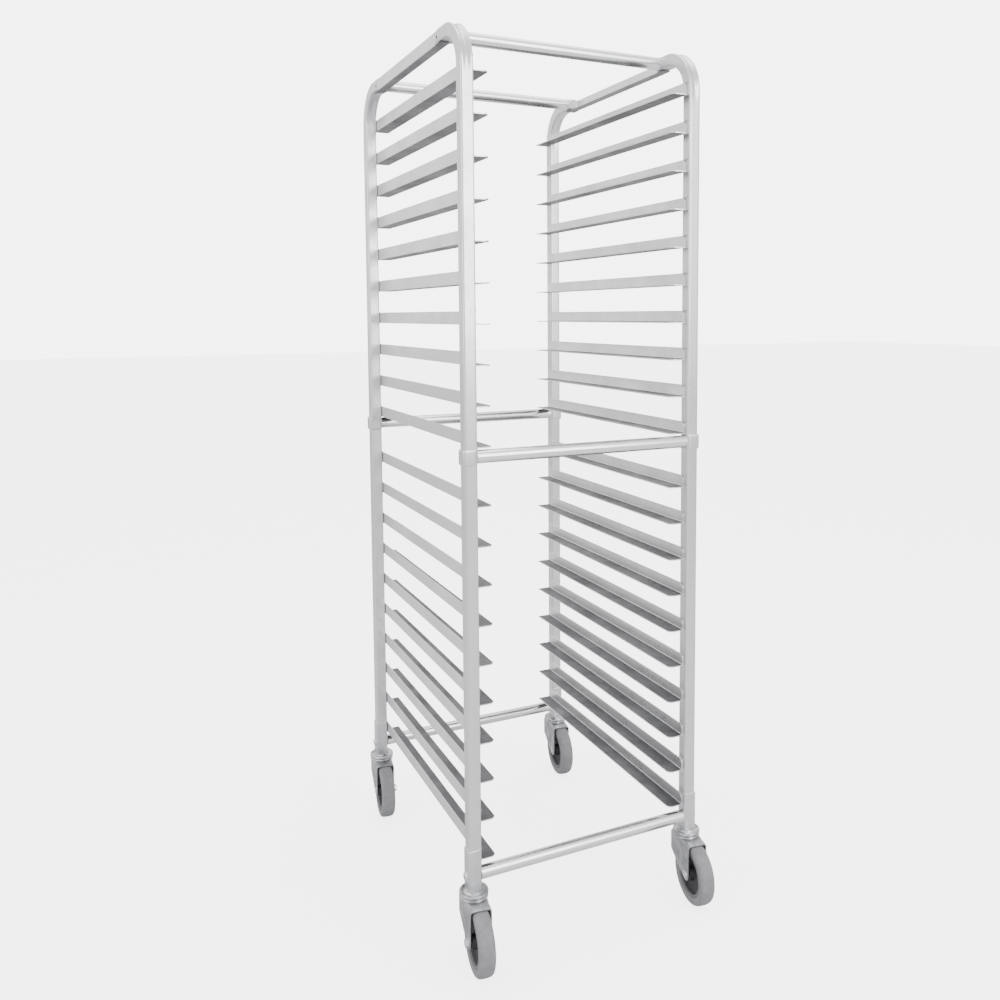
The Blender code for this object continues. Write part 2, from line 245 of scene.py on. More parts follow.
def post_path(end, side):
    """(inward, height, lean, crease) stations of the tube's centre line, foot to bent end."""
    low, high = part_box(f"post_{end}_{side}")
    centre = swivel_place(end, side)
    reach = (high.y - centre.y) if end == "front" else (centre.y - low.y)
    level = high.z - POST_HALF
    start = level - BEND_RADIUS
    lead = [(0.0, POST_FOOT, 0.0, 0.0), (0.0, start - 2 * CREASE_LEAD, 0.0, 0.0)]
    for step in range(1, CREASE_LEAD_STEPS + 1):
        rise = step / CREASE_LEAD_STEPS
        height = start - CREASE_LEAD * (2 - 2 * rise) - STATION_GAP
        lead.append((0.0, height, 0.0, CREASE_START * rise * rise))
    bend = []
    for step in range(BEND_STEPS + 1):
        share = step / BEND_STEPS
        angle = share * math.pi / 2
        inward = BEND_RADIUS * (1 - math.cos(angle))
        depth = math.sin(math.pi * share)
        if share < 0.5:
            depth = CREASE_START + (1 - CREASE_START) * depth
        bend.append((inward, start + BEND_RADIUS * math.sin(angle), angle, max(depth, 0.0)))
    return lead + bend + [(reach, level, math.pi / 2, 0.0)]


def creased(a, b, depth):
    """Presses the bend's outer flat in, and its inner flat slightly."""
    flat = POST_HALF - POST_CORNER
    if abs(a) > flat:
        return a, b
    hollow = math.cos(math.pi * a / (2 * flat)) ** 2 * depth * CREASE_DEPTH
    return a, b + hollow if b < 0 else b - INNER_CREASE * hollow


def post_rings(shape, end, side, half, corner, path):
    """A ring of points across the tube at each station of its path."""
    base = swivel_place(end, side)
    inward = -ENDS[end]
    rings = []
    for reach, height, lean, depth in path:
        along = Vector((0, inward * math.cos(lean), -math.sin(lean)))
        centre = Vector((base.x, base.y + inward * reach, height))
        ring = []
        for point in round_square(half, corner):
            a, b = creased(point.x, point.y, depth)
            ring.append(shape.verts.new(centre + Vector((a, 0, 0)) + along * b))
        rings.append(ring)
    return rings


POST_METAL = drawn_metal("drawn post tube", "z", (0.80, 0.80, 0.81), (0.66, 0.665, 0.68))
for end, side in CORNERS:
    path = post_path(end, side)
    reach, level, lean = path[-1][:3]
    shape = bmesh.new()
    path[-1] = (reach - END_EASE, level, lean, 0.0)
    rings = post_rings(shape, end, side, POST_HALF, POST_CORNER, path)
    for share in END_SHARES:
        shrink = END_EASE * (1 - math.sqrt(max(0.0, 1 - share * share)))
        station = [(reach - END_EASE * (1 - share), level, lean, 0.0)]
        rings += post_rings(shape, end, side, POST_HALF - shrink * END_TAPER, POST_CORNER, station)
    plate_half = POST_HALF - POST_WALL - END_EASE * END_TAPER
    station = [(reach - END_PLATE_INSET, level, lean, 0.0)]
    rings += post_rings(shape, end, side, plate_half, POST_CORNER / 2, station)
    skin(shape, rings)
    shape.faces.new(rings[0])
    shape.faces.new(rings[-1])
    finish_piece(f"post_tube_{end}_{side}", shape, [POST_METAL], "frame",
                 [f"post_{end}_{side}"])

# ---------------------------------------------------------------------------------------------
# Foot sleeves and mid collars. Both are pressed aluminium sheet wrapped round the post and welded:
# the sleeve stiffens the foot where the caster's stem is driven in, and the collar backs the
# middle crossbar. On the post's inner face, where the runners lie, both are dressed almost flush.

SLEEVE_TOP = 0.2255
SLEEVE_PROUD = (0.0020, 0.0012)
COLLAR_CENTRE = 0.9795
COLLAR_HALF_HEIGHT = 0.0155
COLLAR_PROUD = (0.0035, 0.0015)
COLLAR_BEVEL = 0.005
SLEEVE_BEVEL = 0.0035
SLEEVE_FOOT_BEVEL = 0.0006
INNER_PROUD = 0.00012
FULL_WIDTH_BY = 3
BEVEL_STEPS = 5


def wrap_ring(shape, centre, outward, height, proud, swell):
    """One level of a wrapped sheet. Swell 1 stands fully proud and 0 lies on the post."""
    ring = []
    for point in round_square(POST_HALF, POST_CORNER):
        across, along = point.x * outward, point.y
        ease = (across / POST_HALF + 1) / 2
        across += swell * proud[0] * ease if across > 0 else -swell * INNER_PROUD
        along += math.copysign(swell * proud[1] * min(1.0, ease * FULL_WIDTH_BY), along)
        ring.append(shape.verts.new((centre.x + across * outward, centre.y + along, height)))
    return ring


def wrap_profile(low, high, bevel, bottom_bevel):
    """(height, swell) levels of a wrapped sheet with eased edges."""
    levels = []
    for step in range(BEVEL_STEPS + 1):
        angle = math.radians(90 * step / BEVEL_STEPS)
        levels.append((low + bottom_bevel * (1 - math.cos(angle)), math.sin(angle)))
    for step in range(BEVEL_STEPS + 1):
        angle = math.radians(90 * (1 - step / BEVEL_STEPS))
        levels.append((high - bevel * (1 - math.cos(angle)), math.sin(angle)))
    return levels


SLEEVE_METAL = drawn_metal("welded sleeve sheet", "z", (0.76, 0.765, 0.775), (0.60, 0.605, 0.62),
                           smooth=0.30)
for end, side in CORNERS:
    centre = swivel_place(end, side)
    for name, low, high, bevel, bottom_bevel, proud in (
            ("foot_sleeve", POST_FOOT, SLEEVE_TOP, SLEEVE_BEVEL, SLEEVE_FOOT_BEVEL, SLEEVE_PROUD),
            ("mid_collar", COLLAR_CENTRE - COLLAR_HALF_HEIGHT, COLLAR_CENTRE + COLLAR_HALF_HEIGHT,
             COLLAR_BEVEL, COLLAR_BEVEL, COLLAR_PROUD)):
        shape = bmesh.new()
        rings = [wrap_ring(shape, centre, SIDES[side], height, proud, swell)
                 for height, swell in wrap_profile(low, high, bevel, bottom_bevel)]
        skin(shape, rings)
        shape.faces.new(rings[0])
        shape.faces.new(rings[-1])
        finish_piece(f"{name}_{end}_{side}", shape, [SLEEVE_METAL], "frame")

# ---------------------------------------------------------------------------------------------
# Pan runners. Forty lengths of extruded aluminium angle, one pair for each of twenty tiers: the
# upright flange is welded flat against the posts, and pans slide along the ledge. The front end
# has its two corners cut round so that a pan's rim finds its way in.

RUNNER_THICK = 0.0022
RUNNER_FILLET = 0.0022
NOSE_RADIUS = 0.0110
NOSE_STEPS = 7
END_CUT_EASE = 0.0008
EDGE_SHARE = 0.28
FILLET_STEPS = 4
LEVEL_ENOUGH = 0.8
TIERS = 20


def angle_outline(reach, height, thick, fillet):
    """Outline of an angle as (inset from the outer face, rise from the underside)."""
    tip = thick * EDGE_SHARE
    points = [(tip, 0.0), (reach - tip, 0.0), (reach, tip), (reach, thick - tip)]
    points.append((reach - tip, thick))
    for step in range(FILLET_STEPS + 1):
        angle = math.radians(270 - 90 * step / FILLET_STEPS)
        points.append((thick + fillet + fillet * math.cos(angle),
                       thick + fillet + fillet * math.sin(angle)))
    points += [(thick, height - tip), (thick - tip, height), (tip, height), (0.0, height - tip)]
    return points + [(0.0, tip)]


def angle_bar(side, outer, underside, stations, thick, fillet):
    """An angle along Y. Stations are (y, reach of the ledge, height of the upright flange)."""
    shape = bmesh.new()
    rings = []
    for y, reach, height in stations:
        outline = angle_outline(reach, height, thick, fillet)
        rings.append([shape.verts.new((SIDES[side] * (outer - inset), y, underside + rise))
                      for inset, rise in outline])
    skin(shape, rings)
    shape.faces.new(rings[0])
    shape.faces.new(rings[-1])
    return shape


def nosed_stations(front, back, reach, height):
    """Stations of a bar whose ledge and flange both have a quarter-round corner at the front."""
    stations = []
    for step in range(NOSE_STEPS + 1):
        angle = math.radians(90 * step / NOSE_STEPS)
        cut = NOSE_RADIUS * (1 - math.sin(angle))
        stations.append((front + NOSE_RADIUS * (1 - math.cos(angle)), reach - cut, height - cut))
    stations.append((back - END_CUT_EASE, reach, height))
    stations.append((back, reach - END_CUT_EASE, height - END_CUT_EASE))
    return stations


def paint_ledge_shade(shape, underside, thick, fillet):
    """The ledge's two level faces take the second material, a far darker metal that is painted
    shade; the upright flange takes the first.
    """
    shape.normal_update()
    ledge_top = underside + thick + fillet
    for face in shape.faces:
        if abs(face.normal.z) > LEVEL_ENOUGH and face.calc_center_median().z < ledge_top:
            face.material_index = 1


RUNNER_METAL = drawn_metal("extruded runner", "y", (0.90, 0.90, 0.905), (0.72, 0.725, 0.735),
                           scratches=0.45)
# Painted shade: the ledges' level faces get a near-black metal, far darker than the upright flange,
# for the shade they show. The scratch lines on it are the grain.
LEDGE_PAINTED_SHADE = drawn_metal("ledge painted shade", "y", (0.15, 0.15, 0.157), (0.055, 0.055, 0.06),
                          smooth=0.32, matt=0.50, scratches=0.8, relief=0.2)
for side in SIDES:
    for tier in range(1, TIERS + 1):
        node = f"runner_{side}_{tier:02d}"
        low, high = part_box(node)
        outer = max(abs(low.x), abs(high.x))
        reach = high.x - low.x
        height = high.z - low.z
        stations = nosed_stations(low.y, high.y, reach, height)
        shape = angle_bar(side, outer, low.z, stations, RUNNER_THICK, RUNNER_FILLET)
        paint_ledge_shade(shape, low.z, RUNNER_THICK, RUNNER_FILLET)
        finish_piece(f"{node}_bar", shape, [RUNNER_METAL, LEDGE_PAINTED_SHADE], "frame",
                     [node])

# ---------------------------------------------------------------------------------------------
# Welds of the runners. At the front and rear post each upright flange has a short rippled bead on
# its top edge and a thinner one on its lower edge, laid with aluminium filler rod, so they are
# whiter and rougher than the extrusion.

BEAD_LENGTH = 0.019
BEAD_RADIUS = 0.0016
LOWER_BEAD_RADIUS = BEAD_RADIUS * 0.8
BEAD_SET_IN = 0.0004
BEAD_RINGS = 11
BEAD_AROUND = 7
BEAD_RIPPLE = 0.12
BEAD_END = 0.03


def add_bead(shape, start, run, radius):
    """A rippled weld bead from start along run, rounded off at both ends."""
    direction = run.normalized()
    helper = Vector((0, 0, 1)) if abs(direction.z) < 0.9 else Vector((1, 0, 0))
    side_way = direction.cross(helper).normalized()
    up_way = side_way.cross(direction)
    made = []
    for index in range(BEAD_RINGS):
        share = index / (BEAD_RINGS - 1)
        ripple = 1 - BEAD_RIPPLE + BEAD_RIPPLE * math.cos(index * math.pi)
        swell = math.sqrt(max(BEAD_END, 1 - (2 * share - 1) ** 6)) * ripple
        ring = []
        for k in range(BEAD_AROUND):
            angle = math.tau * k / BEAD_AROUND
            offset = side_way * math.cos(angle) + up_way * math.sin(angle)
            ring.append(shape.verts.new(start + run * share + offset * radius * swell))
        made.append(ring)
    skin(shape, made)
    shape.faces.new(made[0])
    shape.faces.new(made[-1])


WELD_METAL = drawn_metal("aluminium weld", "y", (0.86, 0.86, 0.87), (0.66, 0.67, 0.69),
                         smooth=0.36, matt=0.55, relief=0.35)
for side in SIDES:
    shape = bmesh.new()
    for tier in range(1, TIERS + 1):
        low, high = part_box(f"runner_{side}_{tier:02d}")
        outer = max(abs(low.x), abs(high.x))
        for end in ENDS:
            y = swivel_place(end, side).y - BEAD_LENGTH / 2
            x = SIDES[side] * (outer - BEAD_SET_IN)
            add_bead(shape, Vector((x, y, high.z)), Vector((0, BEAD_LENGTH, 0)), BEAD_RADIUS)
            add_bead(shape, Vector((x, y, low.z)), Vector((0, BEAD_LENGTH, 0)), LOWER_BEAD_RADIUS)
    finish_piece(f"runner_welds_{side}", shape, [WELD_METAL], "frame", sharp=60)

# ---------------------------------------------------------------------------------------------
# Top rails. A length of aluminium angle on each side joins the bent ends of the front and rear
# posts: the ends rest on tongues of its ledge, and a blind rivet in each tube's outer face holds
# them.

RAIL_THICK = 0.0025
RAIL_END_EASE = 0.001
TONGUE_LAP = 0.022
TONGUE_SET_BACK = 0.0002
TONGUE_BEVEL = 0.0006
RIVET_INSET = 0.009
RIVET_DROP = POST_HALF * 1.25
RIVET_BORE_RADIUS = 0.0033
RIVET_BORE_RISE = 0.0011


def ring_round(shape, place, radius, rise, segments):
    """A ring of points about +Z. Place is the matrix from that axis' own frame to the rack's."""
    return [shape.verts.new(place @ Vector((radius * math.cos(math.tau * i / segments),
                                            radius * math.sin(math.tau * i / segments), rise)))
            for i in range(segments)]


def add_turned(shape, profile, place, segments):
    """Turns (radius, rise) points about an axis into a shape. Returns the faces."""
    rings = []
    for radius, rise in profile:
        if radius == 0.0:
            rings.append([shape.verts.new(place @ Vector((0, 0, rise)))])
            continue
        rings.append(ring_round(shape, place, radius, rise, segments))
    faces = []
    for low, high in zip(rings, rings[1:]):
        for i in range(segments):
            j = (i + 1) % segments
            if len(low) == 1:
                faces.append(shape.faces.new((low[0], high[i], high[j])))
            elif len(high) == 1:
                faces.append(shape.faces.new((high[0], low[j], low[i])))
            else:
                faces.append(shape.faces.new((low[i], low[j], high[j], high[i])))
    return faces


def facing(place, direction):
    """Matrix that carries +Z to the given direction, at a place."""
    return Matrix.Translation(place) @ direction.to_track_quat("Z", "Y").to_matrix().to_4x4()


RAIL_METAL = drawn_metal("top rail angle", "y", (0.89, 0.895, 0.90), (0.77, 0.78, 0.79))
# Painted shade: the rail's level ledge faces and the tongues under the tube ends get a dark metal,
# far darker than the upright flange, for the shade they show.
RAIL_LEDGE_PAINTED_SHADE = drawn_metal("top rail ledge painted shade", "y", (0.24, 0.24, 0.25), (0.13, 0.13, 0.14),
                         smooth=0.3, matt=0.5)
# Painted shade: a near-black metal for the rivets' shallow bores and the fork legs' holes, which
# are not cut through. It stands in for the dark inside a hole.
HOLE_PAINTED_SHADE = drawn_metal("hole painted shade", "z", (0.05, 0.05, 0.05), (0.03, 0.03, 0.03),
                         smooth=0.5, matt=0.7)
for side in SIDES:
    low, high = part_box(f"top_rail_{side}")
    outer = max(abs(low.x), abs(high.x))
    reach = high.x - low.x
    height = high.z - low.z
    stations = [(low.y, reach - RAIL_END_EASE, height - RAIL_END_EASE),
                (low.y + RAIL_END_EASE, reach, height), (high.y - RAIL_END_EASE, reach, height),
                (high.y, reach - RAIL_END_EASE, height - RAIL_END_EASE)]
    shape = angle_bar(side, outer, low.z, stations, RAIL_THICK, RAIL_THICK)
    paint_ledge_shade(shape, low.z, RAIL_THICK, RAIL_THICK)
    finish_piece(f"top_rail_{side}_bar", shape, [RAIL_METAL, RAIL_LEDGE_PAINTED_SHADE], "frame",
                 [f"top_rail_{side}"])
    shape = bmesh.new()
    for end in ENDS:
        y = low.y if end == "front" else high.y
        inward = -ENDS[end]
        box = bmesh.ops.create_cube(shape, size=1.0)["verts"]
        for vert in box:
            vert.co.x = SIDES[side] * (outer - (RAIL_END_EASE if vert.co.x > 0 else reach))
            vert.co.y = y - inward * (TONGUE_SET_BACK if vert.co.y > 0 else TONGUE_LAP)
            vert.co.z = low.z if vert.co.z < 0 else low.z + RAIL_THICK
    bmesh.ops.bevel(shape, geom=shape.edges[:], offset=TONGUE_BEVEL, segments=2, affect="EDGES")
    # The tongues are wholly in the painted-shade metal.
    finish_piece(f"top_rail_tongues_{side}", shape, [RAIL_LEDGE_PAINTED_SHADE], "frame")

RIVET_PROFILE = [(0.0, 0.0), (0.0050, 0.0), (0.0050, 0.0005), (0.0046, 0.0011), (0.0038, 0.0013),
                 (0.0032, 0.0011), (0.0030, 0.0002), (0.0, 0.0002)]
shape = bmesh.new()
for end, side in CORNERS:
    low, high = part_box(f"post_{end}_{side}")
    tube_end = high.y if end == "front" else low.y
    y = tube_end + ENDS[end] * RIVET_INSET
    outward = Vector((SIDES[side], 0, 0))
    outer = swivel_place(end, side).x + SIDES[side] * POST_HALF
    place = facing(Vector((outer, y, high.z - RIVET_DROP)), outward)
    for face in add_turned(shape, RIVET_PROFILE, place, 20):
        centre = face.calc_center_median()
        rise = abs(centre.x - outer)
        radius = math.hypot(centre.y - y, centre.z - place.translation.z)
        # The bore's faces take the painted-shade black.
        face.material_index = 1 if radius < RIVET_BORE_RADIUS and rise < RIVET_BORE_RISE else 0
finish_piece("blind_rivets", shape, [RAIL_METAL, HOLE_PAINTED_SHADE], "frame", sharp=50)

# ---------------------------------------------------------------------------------------------
# Crossbars. Six round aluminium tubes tie the two sides together at the top, middle and bottom.
# The top and middle ones are welded all round; the bottom ones take a button-head bolt through
# each post's foot.

BAR_WALL = 0.0018
BAR_RIM = 0.0004
BAR_SEGMENTS = 48
SOLID_BAR_SIDES = 16
RING_WELD_BEAD = 0.0015
RING_WELD_RIPPLES = 26
RING_WELD_HOLLOW = 0.82
BOLT_SET_IN = 0.0001
BOLT_PROFILE = [(0.0, 0.0), (0.0094, 0.0), (0.0094, 0.0008), (0.0086, 0.0010), (0.0084, 0.0016),
                (0.0076, 0.0034), (0.0060, 0.0046), (0.0045, 0.0050), (0.0040, 0.0049),
                (0.0036, 0.0026), (0.0, 0.0024)]


def add_turned_ring(shape, profile, place, segments):
    """Turns a closed loop of (radius, rise) points, such as a tube's wall. Returns the faces."""
    rings = [ring_round(shape, place, radius, rise, segments) for radius, rise in profile]
    return skin(shape, rings, closed_path=True)


BAR_METAL = drawn_metal("drawn crossbar tube", "x", (0.91, 0.915, 0.92), (0.82, 0.83, 0.84),
                        smooth=0.20, matt=0.36)
for level in ("top", "middle", "bottom"):
    for end in ENDS:
        node = f"crossbar_{level}_{end}"
        low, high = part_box(node)
        centre = (low + high) / 2
        radius = (high.z - low.z) / 2 / math.cos(math.pi / SOLID_BAR_SIDES)
        half = (high.x - low.x) / 2
        place = facing(Vector((0, centre.y, centre.z)), Vector((1, 0, 0)))
        profile = [(radius - BAR_WALL, -half), (radius - BAR_RIM, -half), (radius, -half + BAR_RIM),
                   (radius, -half / 2), (radius, 0.0), (radius, half / 2), (radius, half - BAR_RIM),
                   (radius - BAR_RIM, half), (radius - BAR_WALL, half)]
        shape = bmesh.new()
        add_turned_ring(shape, profile, place, BAR_SEGMENTS)
        finish_piece(f"{node}_tube", shape, [BAR_METAL], "frame", [node])


def add_ring_weld(shape, centre, radius):
    """A rippled fillet all round a tube's end. The tube runs along X."""
    rings = []
    steps = RING_WELD_RIPPLES * 2
    for index in range(steps):
        angle = math.tau * index / steps
        out = Vector((0, math.cos(angle), math.sin(angle)))
        size = RING_WELD_BEAD * (1.0 if index % 2 else RING_WELD_HOLLOW)
        ring = []
        for k in range(BEAD_AROUND):
            turn = math.tau * k / BEAD_AROUND
            ring.append(shape.verts.new(centre + out * (radius + size * math.cos(turn))
                                        + Vector((size * math.sin(turn), 0, 0))))
        rings.append(ring)
    skin(shape, rings, closed_path=True)


shape = bmesh.new()
for level in ("top", "middle"):
    for end in ENDS:
        low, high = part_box(f"crossbar_{level}_{end}")
        centre = (low + high) / 2
        for x in (low.x, high.x):
            add_ring_weld(shape, Vector((x, centre.y, centre.z)), (high.z - low.z) / 2)
finish_piece("crossbar_welds", shape, [WELD_METAL], "frame", sharp=60)

BOLT_METAL = drawn_metal("zinc bolt", "z", (0.80, 0.80, 0.81), (0.62, 0.63, 0.65),
                         smooth=0.22, matt=0.4)
shape = bmesh.new()
for end, side in CORNERS:
    low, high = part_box(f"crossbar_bottom_{end}")
    centre = swivel_place(end, side)
    outer = centre.x + SIDES[side] * (POST_HALF + SLEEVE_PROUD[0] - BOLT_SET_IN)
    place = facing(Vector((outer, centre.y, (low.z + high.z) / 2)), Vector((SIDES[side], 0, 0)))
    add_turned(shape, BOLT_PROFILE, place, 30)
finish_piece("crossbar_bolts", shape, [BOLT_METAL], "frame", sharp=40)

# ---------------------------------------------------------------------------------------------
# Caster mounts. A pressed steel dish, the fixed half of the ball race, is riveted to a stem that
# is driven into the post's foot. Zinc plated after pressing, so it has a soft mottled shine.

def zinc_mottle_group():
    """The faint crystal mottle and grey bloom of zinc plate."""
    tree, entry, leave = group_shell(
        "zinc mottle",
        [("Bright", "NodeSocketColor", (0.7, 0.7, 0.7, 1)),
         ("Bloom", "NodeSocketColor", (0.5, 0.5, 0.5, 1)),
         ("Smooth", "NodeSocketFloat", 0.25), ("Matt", "NodeSocketFloat", 0.5)],
        SURFACE_OUTPUTS)
    link = tree.links.new
    place = add_node(tree, "ShaderNodeTexCoord", (-1100, 300))
    cells = add_node(tree, "ShaderNodeTexVoronoi", (-800, 300))
    cells.inputs["Scale"].default_value = 420.0
    link(place.outputs["Object"], cells.inputs["Vector"])
    bloom = add_node(tree, "ShaderNodeTexNoise", (-800, 0))
    bloom.inputs["Scale"].default_value = 46.0
    bloom.inputs["Detail"].default_value = 6.0
    link(place.outputs["Object"], bloom.inputs["Vector"])
    patch = add_node(tree, "ShaderNodeMapRange", (-550, 0))
    patch.inputs["From Min"].default_value = 0.38
    patch.inputs["From Max"].default_value = 0.66
    link(bloom.outputs["Fac"], patch.inputs["Value"])
    grey = add_node(tree, "ShaderNodeSeparateColor", (-550, 300))
    link(cells.outputs["Color"], grey.inputs["Color"])
    blend = add_node(tree, "ShaderNodeMath", (-300, 200), operation="MULTIPLY_ADD", use_clamp=True)
    link(grey.outputs["Red"], blend.inputs[0])
    blend.inputs[1].default_value = 0.25
    link(patch.outputs["Result"], blend.inputs[2])
    tint = add_node(tree, "ShaderNodeMix", (0, 250), data_type="RGBA")
    link(blend.outputs[0], tint.inputs["Factor"])
    link(entry.outputs["Bright"], tint.inputs["A"])
    link(entry.outputs["Bloom"], tint.inputs["B"])
    link(tint.outputs["Result"], leave.inputs["Color"])
    gloss = add_node(tree, "ShaderNodeMapRange", (0, 0))
    link(blend.outputs[0], gloss.inputs["Value"])
    link(entry.outputs["Smooth"], gloss.inputs["To Min"])
    link(entry.outputs["Matt"], gloss.inputs["To Max"])
    link(gloss.outputs["Result"], leave.inputs["Roughness"])
    link(bloom.outputs["Fac"], leave.inputs["Height"])
    return tree


ZINC_MOTTLE = zinc_mottle_group()


def zinc_plate(name, bright, bloom, smooth, matt):
    """Zinc plate on pressed steel, bright where it is clean and grey where it has bloomed."""
    values = {"Bright": (*bright, 1), "Bloom": (*bloom, 1), "Smooth": smooth, "Matt": matt}
    return surfaced(name, ZINC_MOTTLE, values, 1.0, 0.12, 0.0004)


def caster_place(end, side):
    """Matrix from the caster's own frame to the rack's: swivel on Z, wheel trailing along -Y."""
    across = JOINTS[f"roll_{end}_{side}"]["axis"]
    turn = math.atan2(across[1], across[0])
    return Matrix.Translation(swivel_place(end, side)) @ Matrix.Rotation(turn, 4, "Z")


DISH_PROFILE = [(0.0, 0.1362), (0.0240, 0.1362), (0.0262, 0.1358), (0.0276, 0.1359),
                (0.0284, 0.1366), (0.0285, 0.1378), (0.0284, 0.1402), (0.0280, 0.1416),
                (0.0271, 0.1423), (0.0260, 0.1421), (0.0252, 0.1412), (0.0236, 0.1405),
                (0.0205, 0.1406), (0.0188, 0.1414), (0.0180, 0.1430), (0.0174, 0.1437),
                (0.0, 0.1437)]
RACE_SEGMENTS = 64
RACE_ZINC = zinc_plate("zinc race", (0.66, 0.66, 0.67), (0.36, 0.365, 0.38), 0.18, 0.36)
for end, side in CORNERS:
    shape = bmesh.new()
    add_turned(shape, DISH_PROFILE, caster_place(end, side), RACE_SEGMENTS)
    finish_piece(f"caster_race_{end}_{side}", shape, [RACE_ZINC], "frame", sharp=60)

# ---------------------------------------------------------------------------------------------
# Caster forks. One blank of zinc-plated steel is pressed into a crown with a raised race ring and
# a sloping hood, and two legs that taper to the axle. The legs' front strips are pressed in a
# little to stiffen them, and each leg has a small punched hole.

FORK_TOP = 0.1330
FORK_HALF = 0.0218
FORK_PLATE = 0.0028
FORK_BEND = 0.0055
FORK_REAR = 0.0255
FORK_REAR_DROP = 0.043
FORK_EYE = 0.0120
FORK_EDGE_EASE = 0.0005
EYE_TANGENT = math.radians(-42)
CROWN_SET_DOWN = 0.0008
HOOD_START = -0.0200
HOOD_DROP = 0.0026
HOOD_CURVE = 1.3
TRAIL = 0.038
WHEEL_RADIUS = 0.0635
LEG_SWELL = 0.0013
SWELL_START = -0.027
SWELL_RUN = 0.006
LEG_STEPS = 9
FORK_BEND_STEPS = 6


def crown_height(y):
    """Top of the fork along its length: level over the race, then sloping down the hood."""
    slope = min(1.0, max(0.0, (HOOD_START - y) / (TRAIL + FORK_EYE + HOOD_START)))
    return FORK_TOP - CROWN_SET_DOWN - HOOD_DROP * slope ** HOOD_CURVE


def leg_bottom(y):
    """Lower edge of a leg: a straight taper from the rear corner, then round the axle's eye."""
    rear = Vector((FORK_REAR, FORK_TOP - FORK_REAR_DROP))
    tangent = Vector((-TRAIL + FORK_EYE * math.cos(EYE_TANGENT),
                      WHEEL_RADIUS + FORK_EYE * math.sin(EYE_TANGENT)))
    if y >= tangent.x:
        share = (y - tangent.x) / (rear.x - tangent.x)
        return tangent.y + (rear.y - tangent.y) * share
    inside = max(0.0, FORK_EYE ** 2 - (y + TRAIL) ** 2)
    return WHEEL_RADIUS - math.sqrt(inside)


def leg_half(y):
    """Half width over the legs: the rear part stands a little prouder than the front strip."""
    ease = min(1.0, max(0.0, (y - SWELL_START) / SWELL_RUN))
    return FORK_HALF - FORK_PLATE / 2 + LEG_SWELL * ease * ease * (3 - 2 * ease)


def fork_section(y):
    """Points across the fork at one place: up one leg, over the crown, and down the other."""
    half, top, bottom = leg_half(y), crown_height(y) - FORK_PLATE / 2, leg_bottom(y)
    points = []
    for step in range(LEG_STEPS):
        points.append((-half, bottom + (top - FORK_BEND - bottom) * step / LEG_STEPS))
    for step in range(FORK_BEND_STEPS + 1):
        angle = math.radians(180 - 90 * step / FORK_BEND_STEPS)
        points.append((-half + FORK_BEND + FORK_BEND * math.cos(angle),
                       top - FORK_BEND + FORK_BEND * math.sin(angle)))
    flat = half - FORK_BEND
    points += [(-flat + 2 * flat * step / 6, top) for step in range(1, 4)]
    return points + [(-x, z) for x, z in reversed(points[:-1])]


def fork_stations():
    """Places along the fork, closer together round the axle's eye and at the leg's crease."""
    eye = [-TRAIL - FORK_EYE * math.cos(math.radians(angle)) for angle in range(0, 91, 10)]
    eye += [-TRAIL + FORK_EYE * math.sin(math.radians(angle)) for angle in range(12, 49, 12)]
    rest = [-0.0260, -0.0225, -0.0190, -0.011, -0.004, 0.003, 0.010, 0.017, 0.0225, FORK_REAR]
    return eye + rest


